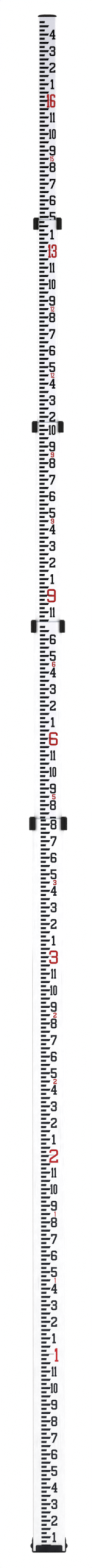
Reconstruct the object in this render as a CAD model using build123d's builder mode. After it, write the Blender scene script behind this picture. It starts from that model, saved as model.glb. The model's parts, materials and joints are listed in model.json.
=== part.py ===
from build123d import *
from math import cos, radians, sin, tan
import os

os.makedirs("parts", exist_ok=True)

# Telescoping leveling staff with five nested tubes, partly drawn out.
# Millimetres. The origin is the centre of the foot's underside, +Z is up,
# and the printed face of every tube looks along -Y.

# Tubes: rounded rectangles around one common core, largest at the bottom
flat_width = 24.0  # flat of the printed face, the same on every tube
flat_depth = 10.0  # flat of the narrow sides
core_corner_radius = 0.5  # bore corner of the smallest tube
wall = 1.3
nest_gap = 1.375  # air between a tube and the next one inside it

# Heights at rest: the first rim, then how far each section stands out of the one below
first_rim = 1125.0
exposed_2 = 301.7
exposed_3 = 305.7
exposed_4 = 310.2
exposed_5 = 314.8  # up to the top of the cap

# Length of each inner section that stays below the outer rim at full draw
overlap_2 = 236.85
overlap_3 = 103.65
overlap_4 = 87.45
overlap_5 = 64.4

# Mouth bushes
rim_flange = 0.8  # flange on the cut end of the outer tube
bush_depth = 25.0
bush_fit = 0.05
running_clearance = 0.3  # between pieces that slide past each other

# Joint collars: open at the front, thicker at the sides and back
collar_rise_1 = 3.1  # above the rim
collar_rise_2 = 3.0
collar_rise_3 = 1.95
collar_rise_4 = 3.65
collar_drop_1 = 17.95  # below the rim
collar_drop_2 = 17.0
collar_drop_3 = 16.1
collar_drop_4 = 15.35
collar_side_1 = 4.8
collar_side_2 = 4.5
collar_side_3 = 5.4
collar_side_4 = 5.55
collar_wrap_1 = 4.8  # how far the front lips reach round the tube's corners
collar_wrap_2 = 3.7
collar_wrap_3 = 3.0
collar_wrap_4 = 2.75
collar_front = 2.2
collar_back = 4.0
collar_corner_extra = 2.5  # outer corner radius beyond the tube's own
collar_fit = 0.05
collar_lip_clearance = 0.6  # top lip to the inner tube
collar_top_bevel = 1.7
collar_top_bevel_height = 2.2
collar_bottom_round = 1.2
collar_lip_round = 0.9
collar_lip_cut = 1.6  # slanted cut on the upper inner corners of the lips
collar_lip_cut_height = 2.4
collar_lip_foot = 1.0  # the same on the lower corners
collar_flute_radius = 1.6
collar_flute_depth = 0.55
collar_flute_pitch = 4.2
collar_flute_count = 3
edge_tolerance = 0.01  # for picking edges by their place
stack_gap = 1.0  # between collars when the staff is closed

# Collar screws
screw_radius = 1.5
screw_head_radius = 2.8
screw_drop = 7.2  # screw axis below the rim
screw_spacing = 14.0
screw_fit = 0.05
screw_head_angle = 90.0
screw_socket_radius = 1.1
screw_socket_depth = 1.2
screw_socket_sides = 6

# Guide blocks in the lower ends of the inner tubes
guide_flange = 5.0
guide_depth = 27.0
guide_fit = 0.1
guide_edge = 0.6
closing_clearance = 2.0  # between the ends that meet when the staff is closed
pin_radius = 1.5
pin_reach = 5.0  # into the guide block
pin_height = 6.0  # above the tube's lower end
pin_fit = 0.05

# Lock buttons and their bow springs
button_radius = 3.8
button_fit = 0.2
button_height = 15.0  # above the tube's lower end
button_shoulder_radius = 5.0
button_shoulder = 1.2
button_pop = 2.9  # free travel outwards, into the lock hole
button_wall_gap = 0.375  # tip to the outer tube's wall at rest
button_round = 0.8
pocket_floor = 1.5  # guide wall behind the spring on the smallest section
spring_span = 18.0
spring_width = 5.0
spring_thickness = 0.4
spring_fit = 0.05
spring_slot_side = 0.5
spring_slot_end = 0.75

# Foot: stamped shoe, rivets, block and pad
shoe_thickness = 1.75
shoe_fit = 0.05
shoe_bottom_round = 2.6
notch_floor = 2.6
front_flap_width = 41.2
front_flap_height = 11.7
front_flap_round = 2.4
side_flap_width = 13.0
side_flap_height = 24.0
side_flap_taper = 5.0  # the top of a side flap thins to an edge over this height
side_flap_edge = 0.7
rivet_height = 10.6
rivet_head_radius = 4.1
rivet_head_height = 2.35
rivet_radius = 2.0
rivet_reach = 7.0  # into the foot block
rivet_fit = 0.05
block_height = 15.0
block_fit = 0.1
pad_height = 4.0

# End cap
cap_head = 4.0  # to the top of the dome
cap_overhang = 0.7
cap_rim = 1.0  # height of the upright edge under the dome
cap_undercut = 0.4
cap_undercut_height = 0.8
cap_dome_angle = 72.0  # how much of a quarter turn the dome follows
cap_dome_power = 0.8  # 1 for an ellipse, less for a flatter crown
cap_dome_steps = 6
cap_plug_depth = 20.0
cap_plug_wall = 1.6
cap_fit = 0.1

# Sections from the ground up, and the ones with a mouth or with a section outside
exposed = {2: exposed_2, 3: exposed_3, 4: exposed_4, 5: exposed_5}
top_section = max(exposed)
sections = range(1, top_section + 1)
outer_sections = range(1, top_section)
inner_sections = range(2, top_section + 1)
overlap = {2: overlap_2, 3: overlap_3, 4: overlap_4, 5: overlap_5}
collar_rise = {1: collar_rise_1, 2: collar_rise_2, 3: collar_rise_3, 4: collar_rise_4}
collar_drop = {1: collar_drop_1, 2: collar_drop_2, 3: collar_drop_3, 4: collar_drop_4}
collar_side = {1: collar_side_1, 2: collar_side_2, 3: collar_side_3, 4: collar_side_4}
collar_wrap = {1: collar_wrap_1, 2: collar_wrap_2, 3: collar_wrap_3, 4: collar_wrap_4}

# Tube radii: every outline is the core rectangle grown by its corner radius
bore_radius = {n: core_corner_radius + (top_section - n) * (wall + nest_gap) for n in sections}
tube_radius = {n: bore_radius[n] + wall for n in sections}
side_face = {n: flat_width / 2 + tube_radius[n] for n in sections}
back_face = {n: flat_depth / 2 + tube_radius[n] for n in sections}

# Rims at rest; the rim of the top section is the top of its cap
rim = {1: first_rim}
for n in inner_sections:
    rim[n] = rim[n - 1] + exposed[n]
end_piece = {n: rim_flange for n in outer_sections}
end_piece[top_section] = cap_head
tube_top = {n: rim[n] - end_piece[n] for n in sections}

# Closed staff: collars stack on each other, and lower ends stack above the foot pad
closed_rim = {1: first_rim}
for n in outer_sections[1:]:
    closed_rim[n] = closed_rim[n - 1] + collar_rise[n - 1] + stack_gap + collar_drop[n]
last_outer = top_section - 1
closed_top = {n: closed_rim[n] - rim_flange for n in outer_sections}
closed_top[top_section] = closed_rim[last_outer] + collar_rise[last_outer] + stack_gap
foot_stop = shoe_thickness + block_height + pad_height
closed_bottom = {2: foot_stop + closing_clearance + guide_flange}
for n in inner_sections[1:]:
    closed_bottom[n] = closed_bottom[n - 1] + guide_depth + closing_clearance + guide_flange

# Lower ends at rest, and the travel of each section
tube_bottom = {1: shoe_thickness}
for n in inner_sections:
    tube_bottom[n] = tube_top[n] - (closed_top[n] - closed_bottom[n])
travel_up = {n: rim[n - 1] - overlap[n] - tube_bottom[n] for n in inner_sections}
closed_shift = {n: tube_top[n] - closed_top[n] for n in inner_sections}
closed_shift[1] = 0.0
travel_down = {n: closed_shift[n] - closed_shift[n - 1] for n in inner_sections}

# Lock buttons: where they sit, and the holes that they reach at full draw
button_proud = nest_gap - button_wall_gap
button_z = {n: tube_bottom[n] + button_height for n in inner_sections}
lock_hole_z = {n: button_z[n + 1] + travel_up[n + 1] for n in outer_sections}
lock_hole_radius = button_radius + button_fit
bore_depth_top = flat_depth + 2 * bore_radius[top_section]
spring_room = bore_depth_top - guide_fit - pocket_floor - button_pop - button_shoulder
pocket_depth = button_pop + button_shoulder + spring_room

# Collar screws run from the collar's back face to the tube's bore
screw_length = collar_back + wall
screw_head_height = (screw_head_radius - screw_radius) / tan(radians(screw_head_angle / 2))
wall_cut = 2 * wall  # depth of a hole that has to pass one tube wall
from_face = (Align.CENTER, Align.CENTER, Align.MAX)  # seats a solid under its plane


def core_outline(radius, mode=Mode.ADD):
    """Draw the core rectangle grown by a radius in the active sketch."""
    RectangleRounded(flat_width + 2 * radius, flat_depth + 2 * radius, radius, mode=mode)


def back_plane(y, z, x=0.0):
    """Plane on a back face, with its normal pointing away from the staff."""
    return Plane(origin=(x, y, z), x_dir=(1, 0, 0), z_dir=(0, 1, 0))


def side_plane(side, x, z):
    """Plane on a narrow side, with its normal pointing away from the staff."""
    return Plane(origin=(side * x, 0, z), x_dir=(0, side, 0), z_dir=(side, 0, 0))


def save(builder, name):
    """Label a finished piece and write it under the same name."""
    builder.part.label = name
    export_step(builder.part, f"parts/{name}.step")


# Tubes with the holes for their buttons, pins, screws and rivets
for n in sections:
    with BuildPart() as tube:
        with BuildSketch(Plane.XY.offset(tube_bottom[n])):
            core_outline(tube_radius[n])
            core_outline(bore_radius[n], mode=Mode.SUBTRACT)
        extrude(amount=tube_top[n] - tube_bottom[n])
        if n in outer_sections:
            with Locations(back_plane(back_face[n], lock_hole_z[n])):
                Hole(lock_hole_radius, depth=wall_cut)
            for side in (-1, 1):
                with Locations(back_plane(back_face[n], rim[n] - screw_drop, side * screw_spacing / 2)):
                    Hole(screw_radius + screw_fit, depth=wall_cut)
        if n in inner_sections:
            with Locations(back_plane(back_face[n], button_z[n])):
                Hole(button_radius + button_fit, depth=wall_cut)
            for side in (-1, 1):
                with Locations(side_plane(side, side_face[n], tube_bottom[n] + pin_height)):
                    Hole(pin_radius + pin_fit, depth=wall_cut)
        else:
            for side in (-1, 1):
                with Locations(side_plane(side, side_face[n], rivet_height)):
                    Hole(rivet_radius + rivet_fit, depth=wall_cut)
    save(tube, f"section_{n}_tube")

# Mouth bushes: a sleeve in each outer tube's mouth with a flange on its cut end
for n in outer_sections:
    with BuildPart() as bush:
        with BuildSketch(Plane.XY.offset(tube_top[n])):
            core_outline(tube_radius[n])
            core_outline(tube_radius[n + 1] + running_clearance, mode=Mode.SUBTRACT)
        extrude(amount=rim_flange)
        with BuildSketch(Plane.XY.offset(tube_top[n] - bush_depth)):
            core_outline(bore_radius[n] - bush_fit)
            core_outline(tube_radius[n + 1] + running_clearance, mode=Mode.SUBTRACT)
        extrude(amount=bush_depth)
    save(bush, f"mouth_bush_{n}")

# Joint collars: a bevelled ring, bored for the tube and opened at the front
for n in outer_sections:
    collar_width = 2 * (side_face[n] + collar_side[n])
    collar_depth = 2 * back_face[n] + collar_front + collar_back
    collar_center = (collar_back - collar_front) / 2
    collar_outer_back = back_face[n] + collar_back
    front_opening = 2 * (side_face[n] - collar_wrap[n])
    lip = front_opening / 2
    collar_top = rim[n] + collar_rise[n]
    collar_bottom = rim[n] - collar_drop[n]
    collar_height = collar_top - collar_bottom
    with BuildPart() as collar:
        with BuildSketch(Plane.XY.offset(collar_bottom)):
            with Locations((0, collar_center)):
                RectangleRounded(collar_width, collar_depth, tube_radius[n] + collar_corner_extra)
        extrude(amount=collar_height)
        top_edges = collar.faces().sort_by(Axis.Z)[-1].edges()
        chamfer(top_edges, length=collar_top_bevel_height, length2=collar_top_bevel)
        fillet(collar.faces().sort_by(Axis.Z)[0].edges(), radius=collar_bottom_round)
        with BuildSketch(Plane.XY.offset(collar_bottom)):
            core_outline(tube_radius[n] + collar_fit)
        extrude(amount=collar_drop[n], mode=Mode.SUBTRACT)
        with BuildSketch(Plane.XY.offset(collar_bottom)):
            core_outline(tube_radius[n + 1] + collar_lip_clearance)
            with Locations((0, -collar_depth / 2)):
                Rectangle(front_opening, collar_depth)
        extrude(amount=collar_height, mode=Mode.SUBTRACT)
        lip_edges = collar.edges().filter_by(Axis.Z).filter_by(
            lambda edge: abs(abs(edge.center().X) - lip) < edge_tolerance
        )
        fillet(lip_edges.group_by(Axis.Y)[0], radius=collar_lip_round)
        with BuildSketch(Plane.XZ.offset(flat_depth / 2)):
            with BuildLine():
                Polyline(
                    (-lip, collar_top - collar_lip_cut_height),
                    (lip, collar_top - collar_lip_cut_height),
                    (lip + collar_lip_cut, collar_top),
                    (-lip - collar_lip_cut, collar_top),
                    close=True,
                )
            make_face()
            with BuildLine():
                Polyline(
                    (-lip, collar_bottom + collar_lip_foot),
                    (lip, collar_bottom + collar_lip_foot),
                    (lip + collar_lip_foot, collar_bottom),
                    (-lip - collar_lip_foot, collar_bottom),
                    close=True,
                )
            make_face()
        extrude(amount=collar_depth, mode=Mode.SUBTRACT)
        with BuildSketch(Plane.XY.offset(collar_bottom)):
            flute_x = collar_width / 2 + collar_flute_radius - collar_flute_depth
            with Locations((-flute_x, 0), (flute_x, 0)):
                with GridLocations(0, collar_flute_pitch, 1, collar_flute_count):
                    Circle(collar_flute_radius)
        extrude(amount=collar_height, mode=Mode.SUBTRACT)
        for side in (-1, 1):
            with Locations(back_plane(collar_outer_back, rim[n] - screw_drop, side * screw_spacing / 2)):
                CounterSinkHole(
                    screw_radius + screw_fit,
                    screw_head_radius + screw_fit,
                    depth=screw_length,
                    counter_sink_angle=screw_head_angle,
                )
    save(collar, f"joint_collar_{n}")

    with BuildPart() as screws:
        for side in (-1, 1):
            screw_plane = back_plane(collar_outer_back, rim[n] - screw_drop, side * screw_spacing / 2)
            with Locations(screw_plane):
                Cone(screw_radius, screw_head_radius, screw_head_height, align=from_face)
                Cylinder(screw_radius, screw_length, align=from_face)
            with BuildSketch(screw_plane):
                RegularPolygon(screw_socket_radius, screw_socket_sides)
            extrude(amount=-screw_socket_depth, mode=Mode.SUBTRACT)
    save(screws, f"collar_screws_{n}")

# Guide blocks: a plug in the inner tube and a flange that runs in the outer tube
for n in inner_sections:
    bore_back = back_face[n] - wall
    with BuildPart() as guide:
        with BuildSketch(Plane.XY.offset(tube_bottom[n] - guide_flange)):
            core_outline(bore_radius[n - 1] - running_clearance)
        extrude(amount=guide_flange)
        chamfer(guide.faces().sort_by(Axis.Z)[0].edges(), length=guide_edge)
        with BuildSketch(Plane.XY.offset(tube_bottom[n])):
            core_outline(bore_radius[n] - guide_fit)
        extrude(amount=guide_depth)
        with Locations(back_plane(bore_back, button_z[n])):
            Hole(button_shoulder_radius + button_fit, depth=pocket_depth)
        with BuildSketch(back_plane(bore_back, button_z[n])):
            Rectangle(spring_width + 2 * spring_slot_side, spring_span + 2 * spring_slot_end)
        extrude(amount=-pocket_depth, mode=Mode.SUBTRACT)
        for side in (-1, 1):
            with Locations(side_plane(side, side_face[n], tube_bottom[n] + pin_height)):
                Hole(pin_radius + pin_fit, depth=wall + pin_reach + pin_fit)
    save(guide, f"guide_block_{n}")

    with BuildPart() as pins:
        for side in (-1, 1):
            with BuildSketch(side_plane(side, side_face[n], tube_bottom[n] + pin_height)):
                Circle(pin_radius)
            extrude(amount=-(wall + pin_reach))
    save(pins, f"guide_pins_{n}")

    # Button: a shouldered plunger held in by the tube's own wall
    shoulder_back = bore_back - button_pop
    with BuildPart() as button:
        with BuildSketch(back_plane(shoulder_back - button_shoulder, button_z[n])):
            Circle(button_shoulder_radius)
        extrude(amount=button_shoulder)
        with BuildSketch(back_plane(shoulder_back, button_z[n])):
            Circle(button_radius)
        extrude(amount=button_pop + wall + button_proud)
        fillet(button.faces().sort_by(Axis.Y)[-1].edges(), radius=button_round)
    save(button, f"lock_button_{n}")

    # Bow spring: a bent strip from the pocket's floor to the back of the shoulder
    bow_low = bore_back - pocket_depth + spring_fit
    bow_high = shoulder_back - button_shoulder - spring_fit
    bow_inner = bow_high - spring_thickness
    half_span = spring_span / 2
    with BuildPart() as spring:
        with BuildSketch(Plane.YZ):
            with BuildLine():
                outer_bow = ThreePointArc(
                    (bow_low, button_z[n] - half_span),
                    (bow_high, button_z[n]),
                    (bow_low, button_z[n] + half_span),
                )
                inner_bow = ThreePointArc(
                    (bow_low, button_z[n] + half_span - spring_thickness),
                    (bow_inner, button_z[n]),
                    (bow_low, button_z[n] - half_span + spring_thickness),
                )
                Line(outer_bow @ 1, inner_bow @ 0)
                Line(inner_bow @ 1, outer_bow @ 0)
            make_face()
        extrude(amount=spring_width / 2, both=True)
    save(spring, f"lock_spring_{n}")

# Foot shoe: a shallow cup whose wall is notched into a front, a back and two side flaps
shoe_radius = tube_radius[1] + shoe_fit + shoe_thickness
shoe_side = flat_width / 2 + shoe_radius
shoe_front = flat_depth / 2 + shoe_radius
flap_rise = side_flap_height - notch_floor
tongue_center = side_flap_height - side_flap_width / 2
on_floor = (Align.CENTER, Align.MIN)
with BuildPart() as shoe:
    with BuildSketch():
        core_outline(shoe_radius)
    extrude(amount=side_flap_height)
    fillet(shoe.faces().sort_by(Axis.Z)[0].edges(), radius=shoe_bottom_round)
    with BuildSketch(Plane.XY.offset(shoe_thickness)):
        core_outline(tube_radius[1] + shoe_fit)
    extrude(amount=side_flap_height, mode=Mode.SUBTRACT)
    # Front and back: everything between the side flaps goes, but for one tab each
    with BuildSketch(Plane.XZ):
        with Locations((0, notch_floor)):
            Rectangle(front_flap_width + 2 * front_flap_round, flap_rise, align=on_floor)
        with BuildSketch(mode=Mode.SUBTRACT) as front_tab:
            Rectangle(front_flap_width, front_flap_height, align=on_floor)
            fillet(front_tab.vertices().group_by(Axis.Y)[-1], radius=front_flap_round)
    extrude(amount=shoe_front, both=True, mode=Mode.SUBTRACT)
    # Sides: the corners go, and a round-topped, tapered tongue stays on each narrow side
    for side in (-1, 1):
        with BuildSketch(side_plane(side, front_flap_width / 2 + front_flap_round, 0)):
            with Locations((0, notch_floor)):
                Rectangle(2 * shoe_front, flap_rise, align=on_floor)
            with BuildSketch(mode=Mode.SUBTRACT):
                Rectangle(side_flap_width, tongue_center, align=on_floor)
                with Locations((0, tongue_center)):
                    Circle(side_flap_width / 2)
        extrude(amount=shoe_side, mode=Mode.SUBTRACT)
        with BuildSketch(Plane.XZ):
            with BuildLine():
                Polyline(
                    (side * shoe_side, side_flap_height - side_flap_taper),
                    (side * shoe_side, side_flap_height),
                    (side * (shoe_side - shoe_thickness + side_flap_edge), side_flap_height),
                    close=True,
                )
            make_face()
        extrude(amount=shoe_front, both=True, mode=Mode.SUBTRACT)
        with Locations(side_plane(side, shoe_side, rivet_height)):
            Hole(rivet_radius + rivet_fit, depth=2 * shoe_thickness)
save(shoe, "foot_shoe")

# Foot rivets: dome heads on the side flaps, shanks into the foot block
rivet_inner = flat_width / 2 + bore_radius[1] - rivet_reach
with BuildPart() as rivets:
    with BuildSketch(Plane.XZ):
        with BuildLine():
            Polyline(
                (rivet_inner, rivet_height),
                (rivet_inner, rivet_height + rivet_radius),
                (shoe_side, rivet_height + rivet_radius),
                (shoe_side, rivet_height + rivet_head_radius),
            )
            dome_bulge = (rivet_head_radius**2 + rivet_head_height**2) / (2 * rivet_head_height)
            RadiusArc(
                (shoe_side, rivet_height + rivet_head_radius),
                (shoe_side + rivet_head_height, rivet_height),
                dome_bulge,
            )
            Line((shoe_side + rivet_head_height, rivet_height), (rivet_inner, rivet_height))
        make_face()
    revolve(axis=Axis((0, 0, rivet_height), (1, 0, 0)))
    mirror(about=Plane.YZ)
save(rivets, "foot_rivets")

# Foot block inside the first tube, and the pad that the closing sections land on
block_top = shoe_thickness + block_height
with BuildPart() as block:
    with BuildSketch(Plane.XY.offset(shoe_thickness)):
        core_outline(bore_radius[1] - block_fit)
    extrude(amount=block_height)
    for side in (-1, 1):
        with Locations(side_plane(side, side_face[1], rivet_height)):
            Hole(rivet_radius + rivet_fit, depth=wall + rivet_reach + rivet_fit)
save(block, "foot_block")

with BuildPart() as pad:
    with BuildSketch(Plane.XY.offset(block_top)):
        core_outline(bore_radius[1] - block_fit)
    extrude(amount=pad_height)
save(pad, "foot_pad")

# End cap: a domed head on the smallest tube and a hollow plug inside it
plug_outer = bore_radius[top_section] - cap_fit
plug_inner = plug_outer - cap_plug_wall
cap_radius = tube_radius[top_section] + cap_overhang
cap_width = flat_width + 2 * cap_radius
cap_depth = flat_depth + 2 * cap_radius
dome_bottom = tube_top[top_section] + cap_rim
dome_height = (cap_head - cap_rim) / sin(radians(cap_dome_angle)) ** cap_dome_power
with BuildPart() as cap:
    with BuildSketch(Plane.XY.offset(tube_top[top_section])):
        core_outline(cap_radius)
    extrude(amount=cap_rim)
    underside = cap.faces().sort_by(Axis.Z)[0]
    chamfer(underside.edges(), length=cap_undercut, length2=cap_undercut_height, reference=underside)
    for step in range(cap_dome_steps + 1):
        angle = radians(cap_dome_angle) * step / cap_dome_steps
        shrink = cos(angle) ** cap_dome_power
        climb = sin(angle) ** cap_dome_power
        with BuildSketch(Plane.XY.offset(dome_bottom + dome_height * climb)):
            RectangleRounded(cap_width * shrink, cap_depth * shrink, cap_radius * shrink)
    loft()
    with BuildSketch(Plane.XY.offset(tube_top[top_section] - cap_plug_depth)):
        core_outline(plug_outer)
        Rectangle(flat_width + 2 * plug_inner, flat_depth + 2 * plug_inner, mode=Mode.SUBTRACT)
    extrude(amount=cap_plug_depth)
save(cap, "top_cap")

for n in inner_sections:
    print(f"section {n}: slides {travel_down[n]:.2f} mm down and {travel_up[n]:.2f} mm up")
print(f"overall height {rim[top_section]:.1f} mm, closed {closed_top[top_section] + cap_head:.1f} mm")
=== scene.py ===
# %% [markdown]
# # A telescoping leveling staff
#
# The staff is five nested tubes with a scale of feet and inches printed on the front. The imported
# model already holds every tube, collar, screw and button as a solid in its place, in metres, with
# the foot on the floor and +Z up along the staff. This lesson gives each solid the finish of the
# real piece, puts a copy of each bow spring in the place of the imported one, prints the scale,
# and sets up the light and camera.

# %% Load the imported model
import json
from math import ceil, cos, floor, pi, radians, sqrt, tan

import bmesh
import bpy
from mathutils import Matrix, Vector


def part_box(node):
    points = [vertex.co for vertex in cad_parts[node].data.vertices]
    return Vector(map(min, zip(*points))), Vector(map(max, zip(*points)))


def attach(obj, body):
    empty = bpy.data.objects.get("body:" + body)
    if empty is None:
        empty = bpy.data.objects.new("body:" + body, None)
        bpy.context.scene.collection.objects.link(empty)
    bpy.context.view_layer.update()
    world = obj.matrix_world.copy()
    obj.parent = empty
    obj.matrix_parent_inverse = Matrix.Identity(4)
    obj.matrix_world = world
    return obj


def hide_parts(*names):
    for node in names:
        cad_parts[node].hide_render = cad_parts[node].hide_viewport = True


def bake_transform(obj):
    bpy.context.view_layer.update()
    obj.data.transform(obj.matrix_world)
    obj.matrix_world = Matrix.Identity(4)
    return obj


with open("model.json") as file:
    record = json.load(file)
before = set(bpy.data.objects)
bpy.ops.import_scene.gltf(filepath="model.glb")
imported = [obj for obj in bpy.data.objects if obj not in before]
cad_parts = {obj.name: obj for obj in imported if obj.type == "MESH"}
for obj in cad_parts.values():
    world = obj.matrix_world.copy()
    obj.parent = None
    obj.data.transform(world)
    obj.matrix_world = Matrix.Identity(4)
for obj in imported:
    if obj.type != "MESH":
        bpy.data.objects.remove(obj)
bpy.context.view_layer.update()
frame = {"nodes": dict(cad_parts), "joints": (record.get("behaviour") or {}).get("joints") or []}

MM = 0.001
INCH = 25.4 * MM

# %% [markdown]
# ## How far each section draws out
#
# A surveyor reads the scale with every section drawn out, and then the inches run on
# without a break from the ground to the top. In the photograph the sections are only part
# drawn out, so each print sits lower than its reading by what its section, and those under
# it, can still rise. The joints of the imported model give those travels, so nothing is typed
# in twice.

# %% Sections and their travels
SECTIONS = range(1, 6)
rise = {joint["child"]: joint["range_m"][1] for joint in frame["joints"]}
tube = {n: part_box(f"section_{n}_tube") for n in SECTIONS}
rim = {n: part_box(f"mouth_bush_{n}")[1].z for n in SECTIONS if n < max(SECTIONS)}
still_to_rise = {}
total = 0.0
for n in SECTIONS:
    total += rise.get(f"section_{n}", 0.0)
    still_to_rise[n] = total
    print("section", n, "can still rise", round(total / MM, 1), "mm")

FLAT_HALF = 12 * MM  # half the flat front of every tube
SIDE_FLAT_HALF = 5 * MM  # half the flat of each side
corner = {n: (tube[n][1].x - tube[n][0].x) / 2 - FLAT_HALF for n in SECTIONS}

# %% [markdown]
# ## Small helpers for shader nodes
#
# A procedural material is a small graph. These helpers add a node, feed a socket with
# either a number or another node, and do the sums, so that each material below reads as a
# list of what happens on the surface. Colours are written as they look on a screen, 0 to
# 255, and turned into the linear values that the shader works with.

# %% Node helpers
def srgb(red, green, blue):
    """A screen colour as linear red, green, blue and alpha."""
    parts = [value / 255 for value in (red, green, blue)]
    linear = [p / 12.92 if p <= 0.04045 else ((p + 0.055) / 1.055) ** 2.4 for p in parts]
    return (*linear, 1.0)


def add_node(tree, kind, **settings):
    """Add a node and set its own options."""
    node = tree.nodes.new(kind)
    for name, value in settings.items():
        setattr(node, name, value)
    return node


def feed(tree, value, socket):
    """Link a socket to another node's output, or set it to a plain value."""
    if isinstance(value, bpy.types.NodeSocket):
        tree.links.new(value, socket)
    else:
        socket.default_value = value


def calc(tree, operation, *values, clamp=False):
    """One step of arithmetic on values."""
    node = add_node(tree, "ShaderNodeMath", operation=operation, use_clamp=clamp)
    for value, socket in zip(values, node.inputs):
        feed(tree, value, socket)
    return node.outputs["Value"]


def vector_calc(tree, operation, *vectors):
    """One step of arithmetic on vectors."""
    node = add_node(tree, "ShaderNodeVectorMath", operation=operation)
    for value, socket in zip(vectors, node.inputs):
        feed(tree, value, socket)
    return node.outputs["Value" if operation == "LENGTH" else "Vector"]


def ease(tree, value, low, high, to_low=0.0, to_high=1.0):
    """Turn a value between two limits into a smooth step between two others."""
    node = add_node(tree, "ShaderNodeMapRange", interpolation_type="SMOOTHSTEP")
    names = ("Value", "From Min", "From Max", "To Min", "To Max")
    for name, part in zip(names, (value, low, high, to_low, to_high)):
        feed(tree, part, node.inputs[name])
    return node.outputs["Result"]


def mix_colors(tree, mask, where_zero, where_one):
    """Blend two colours by a mask."""
    node = add_node(tree, "ShaderNodeMix", data_type="RGBA")
    sockets = {socket.identifier: socket for socket in node.inputs}
    feed(tree, mask, sockets["Factor_Float"])
    feed(tree, where_zero, sockets["A_Color"])
    feed(tree, where_one, sockets["B_Color"])
    return next(s for s in node.outputs if s.identifier == "Result_Color")


def noise(tree, where, scale, detail=2.0):
    """Cloudy noise from 0 to 1, with its patches about 1/scale metres wide."""
    node = add_node(tree, "ShaderNodeTexNoise")
    feed(tree, where, node.inputs["Vector"])
    feed(tree, scale, node.inputs["Scale"])
    feed(tree, detail, node.inputs["Detail"])
    return node.outputs["Fac"]


def object_place(tree):
    """The point on the piece, in metres from the middle of the foot."""
    return add_node(tree, "ShaderNodeTexCoord").outputs["Object"]


def place_parts(tree):
    """The X, Y and Z of that point, as values of their own."""
    split = add_node(tree, "ShaderNodeSeparateXYZ")
    feed(tree, object_place(tree), split.inputs["Vector"])
    return split.outputs


# %% [markdown]
# ## Three surface effects that several finishes share
#
# Moulded and painted parts have a fine grain, and tubes that slide past a bush carry long upright
# scuffs. A third mask marks a band at one height, broken up by chips: on the foot it is wear of
# the enamel, on the collars it is partly wear and partly a painted highlight, and on the cap it is
# a painted highlight. Each effect is built once as a node group with named inputs, and every
# material sets its own values on it. The groups give out only masks and heights, and the shader
# stays in the material.

# %% Shared effects as node groups
NOISE_LIMITS = (0.3, 0.7)  # noise seldom goes past these
BROAD = 0.06  # scale of the broad tone against that of the grain
SCUFF_STRETCH = (1.0, 1.0, 0.025)  # scuffs run long up the staff
SCUFF_LIMITS = (0.56, 0.72)
PATCH_SCALE = 14.0  # scuffs gather in patches
PATCH_LIMITS = (0.46, 0.64)
# The next two values shape the edge mask, which marks wear and, on the collars and cap, paints a
# highlight.
EDGE_PULL = 0.5  # how much more easily an edge wears than the rest
WEAR_AND_HIGHLIGHT_LIMITS = (0.72, 0.84)


def start_group(name, inputs, outputs):
    """An empty node group with float sockets, and its two end nodes."""
    tree = bpy.data.node_groups.new(name, "ShaderNodeTree")
    for label, value in inputs.items():
        socket = tree.interface.new_socket(label, in_out="INPUT", socket_type="NodeSocketFloat")
        socket.default_value = value
    for label in outputs:
        tree.interface.new_socket(label, in_out="OUTPUT", socket_type="NodeSocketFloat")
    return tree, add_node(tree, "NodeGroupInput"), add_node(tree, "NodeGroupOutput")


grain_group, given, result = start_group("surface_grain", {"Scale": 2000.0}, ["Height", "Tone"])
spot = object_place(grain_group)
fine = noise(grain_group, spot, given.outputs["Scale"], detail=3.0)
broad = noise(grain_group, spot, calc(grain_group, "MULTIPLY", given.outputs["Scale"], BROAD))
feed(grain_group, fine, result.inputs["Height"])
feed(grain_group, ease(grain_group, broad, *NOISE_LIMITS), result.inputs["Tone"])

scuff_group, given, result = start_group("sliding_scuffs", {"Across": 1100.0}, ["Mask"])
spot = object_place(scuff_group)
drawn = vector_calc(scuff_group, "MULTIPLY", spot, SCUFF_STRETCH)
lines = ease(scuff_group, noise(scuff_group, drawn, given.outputs["Across"]), *SCUFF_LIMITS)
patches = ease(scuff_group, noise(scuff_group, spot, PATCH_SCALE), *PATCH_LIMITS)
feed(scuff_group, calc(scuff_group, "MULTIPLY", lines, patches), result.inputs["Mask"])

wear_inputs = {"Level": 0.0, "Reach": 0.003, "Grain": 900.0}
# This mask marks wear of the enamel on the foot, and paints a highlight along the top edges of the
# collars and cap.
wear_and_highlight_group, given, result = start_group("edge_wear_and_highlight", wear_inputs, ["Mask"])
away = calc(wear_and_highlight_group, "SUBTRACT", place_parts(wear_and_highlight_group)["Z"], given.outputs["Level"])
away = calc(wear_and_highlight_group, "DIVIDE", calc(wear_and_highlight_group, "ABSOLUTE", away), given.outputs["Reach"])
near = calc(wear_and_highlight_group, "SUBTRACT", 1.0, away, clamp=True)
chips = noise(wear_and_highlight_group, object_place(wear_and_highlight_group), given.outputs["Grain"], detail=4.0)
wear_and_highlight = calc(wear_and_highlight_group, "ADD", calc(wear_and_highlight_group, "MULTIPLY", near, EDGE_PULL), chips)
feed(wear_and_highlight_group, ease(wear_and_highlight_group, wear_and_highlight, *WEAR_AND_HIGHLIGHT_LIMITS), result.inputs["Mask"])
print("groups:", [group.name for group in (grain_group, scuff_group, wear_and_highlight_group)])

# %% [markdown]
# ## Starting a finish
#
# Every finish below starts from the same three moves: a new material, a Principled shader
# whose constant values are set straight on its sockets, and a bump made from a grain. The
# bump is kept shallow, because a coat on a tube is smooth to the touch.

# %% Finish helpers
def new_finish(name, roughness, specular, metallic=0.0):
    """A material with its shader's plain values set."""
    material = bpy.data.materials.new(name)
    material.use_nodes = True
    tree = material.node_tree
    shader = tree.nodes["Principled BSDF"]
    shader.inputs["Roughness"].default_value = roughness
    shader.inputs["Specular IOR Level"].default_value = specular
    shader.inputs["Metallic"].default_value = metallic
    return material, tree, shader


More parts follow.
